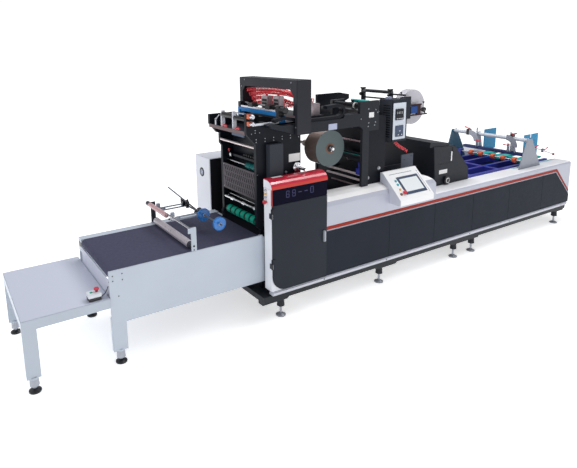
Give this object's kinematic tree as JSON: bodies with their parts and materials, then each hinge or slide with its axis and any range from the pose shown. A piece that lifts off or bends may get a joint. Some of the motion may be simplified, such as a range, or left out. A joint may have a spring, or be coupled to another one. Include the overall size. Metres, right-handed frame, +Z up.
{
  "type": "window patching machine",
  "caption": "Long packaging line machine that feeds cartons by belt, cuts film patches from a roll and glues them over window holes; feed table, patching head, film unwinds and delivery.",
  "frame": {"origin": "on the floor under the middle of the machine's bounding box", "axes": "+X along the work flow from the feed table to the delivery end, +Y away from the operator's side, +Z up"},
  "size_m": [6.768, 1.58, 2.108],
  "materials": {
    "white_paint": "gloss enamel",
    "pale_paint": "satin enamel",
    "charcoal_paint": "fine texture paint",
    "black_paint": "satin enamel",
    "red_paint": "gloss enamel",
    "stripe_red": "satin",
    "silver": "brushed",
    "belt": "matt woven belt",
    "green_sleeve": "matt",
    "blue_plastic": "gloss",
    "film": "clear film on a roll",
    "black_plastic": "matt",
    "orange_plastic": "gloss",
    "navy_paint": "satin enamel",
    "teal_belt": "matt",
    "red_hose": "gloss"
  },
  "bodies": {
    "frame": {"base_frame": "black_paint", "blue_beam": "blue_plastic", "button_box": "black_plastic", "button_box_lead": "black_plastic", "cabinet_hood": "red_paint", "coil_hose_1": "red_hose", "coil_hose_2": "red_hose", "coil_hose_3": "red_hose", "coil_hose_4": "red_hose", "conveyor_bed": "charcoal_paint", "conveyor_belt": "belt", "conveyor_side_far": "pale_paint", "conveyor_side_near": "pale_paint", "delivery_beams": "navy_paint", "delivery_belts": "teal_belt", "delivery_crossbar": "silver", "delivery_deck": "black_paint", "display_panel": "black_plastic", "drag_chain": "black_paint", "far_cabinet": "white_paint", "far_housing": "white_paint", "far_skirt_rail": "silver", "feed_table": "pale_paint", "guide_plate_far": "blue_plastic", "guide_plate_near": "blue_plastic", "head_body": "black_paint", "head_guard": "charcoal_paint", "head_plate_far": "black_paint", "head_plate_near": "black_paint", "hold_down_bracket": "silver", "machine_bed": "black_paint", "meter_box": "charcoal_paint", "meter_hose": "red_hose", "near_cabinet": "white_paint", "near_housing": "white_paint", "near_panels": "charcoal_paint", "near_raised_cover": "white_paint", "near_skirt_rail": "silver", "near_stripe": "stripe_red", "operator_box": "white_paint", "portal": "black_paint", "second_frame_body": "black_paint", "second_frame_far": "black_paint", "second_frame_near": "black_paint", "transverse_housing": "black_paint", "unwind_arm_near": "black_paint", "unwind_top": "black_paint", "valve_blocks": "silver", "wheel_arm": "silver"},
    "wheel_far": {"blue_wheel_far": "blue_plastic"},
    "wheel_near": {"blue_wheel_near": "blue_plastic"},
    "door": {"cabinet_door": "charcoal_paint"},
    "film_roll": {"film_roll": "film"},
    "glue_roller": {"glue_roller": "green_sleeve"},
    "handwheel": {"housing_handwheel": "black_plastic"},
    "infeed_roller": {"infeed_roller": "green_sleeve"},
    "orange_wheels": {"orange_wheels": "orange_plastic"},
    "press_roller": {"press_roller": "silver"},
    "rear_roll": {"rear_roll": "film"},
    "tension_roller": {"tension_roller": "black_paint"}
  },
  "joints": [
    {"name": "cabinet_door_hinge", "type": "hinge", "parent": "frame", "child": "door", "pos_m": [-1.355, -0.66, 0.285], "axis": [0, 0, -1], "range_deg": [0, 110]},
    {"name": "press_roller_spin", "type": "hinge", "parent": "frame", "child": "press_roller", "pos_m": [-2.016, 0, 0.806], "axis": [0, 1, 0], "continuous": true},
    {"name": "wheel_near_spin", "type": "hinge", "parent": "frame", "child": "wheel_near", "pos_m": [-1.72, -0.397, 0.92], "axis": [0, 1, 0], "continuous": true},
    {"name": "wheel_far_spin", "type": "hinge", "parent": "frame", "child": "wheel_far", "pos_m": [-1.72, -0.105, 0.92], "axis": [0, 1, 0], "continuous": true},
    {"name": "infeed_roller_spin", "type": "hinge", "parent": "frame", "child": "infeed_roller", "pos_m": [-1.285, 0, 0.834], "axis": [0, 1, 0], "continuous": true},
    {"name": "glue_roller_spin", "type": "hinge", "parent": "frame", "child": "glue_roller", "pos_m": [-1.262, 0, 1.322], "axis": [0, 1, 0], "continuous": true},
    {"name": "film_roll_spin", "type": "hinge", "parent": "frame", "child": "film_roll", "pos_m": [-0.492, 0, 1.428], "axis": [0, 1, 0], "continuous": true},
    {"name": "tension_roller_spin", "type": "hinge", "parent": "frame", "child": "tension_roller", "pos_m": [-0.19, -0.3, 1.816], "axis": [0, 1, 0], "continuous": true},
    {"name": "rear_roll_spin", "type": "hinge", "parent": "frame", "child": "rear_roll", "pos_m": [0.624, -0.35, 1.736], "axis": [0, 1, 0], "continuous": true},
    {"name": "orange_wheels_spin", "type": "hinge", "parent": "frame", "child": "orange_wheels", "pos_m": [2.5, 0, 0.918], "axis": [0, 1, 0], "continuous": true},
    {"name": "handwheel_spin", "type": "hinge", "parent": "frame", "child": "handwheel", "pos_m": [1.152, -0.4655, 0.876], "axis": [0, 1, 0], "continuous": true}
  ]
}
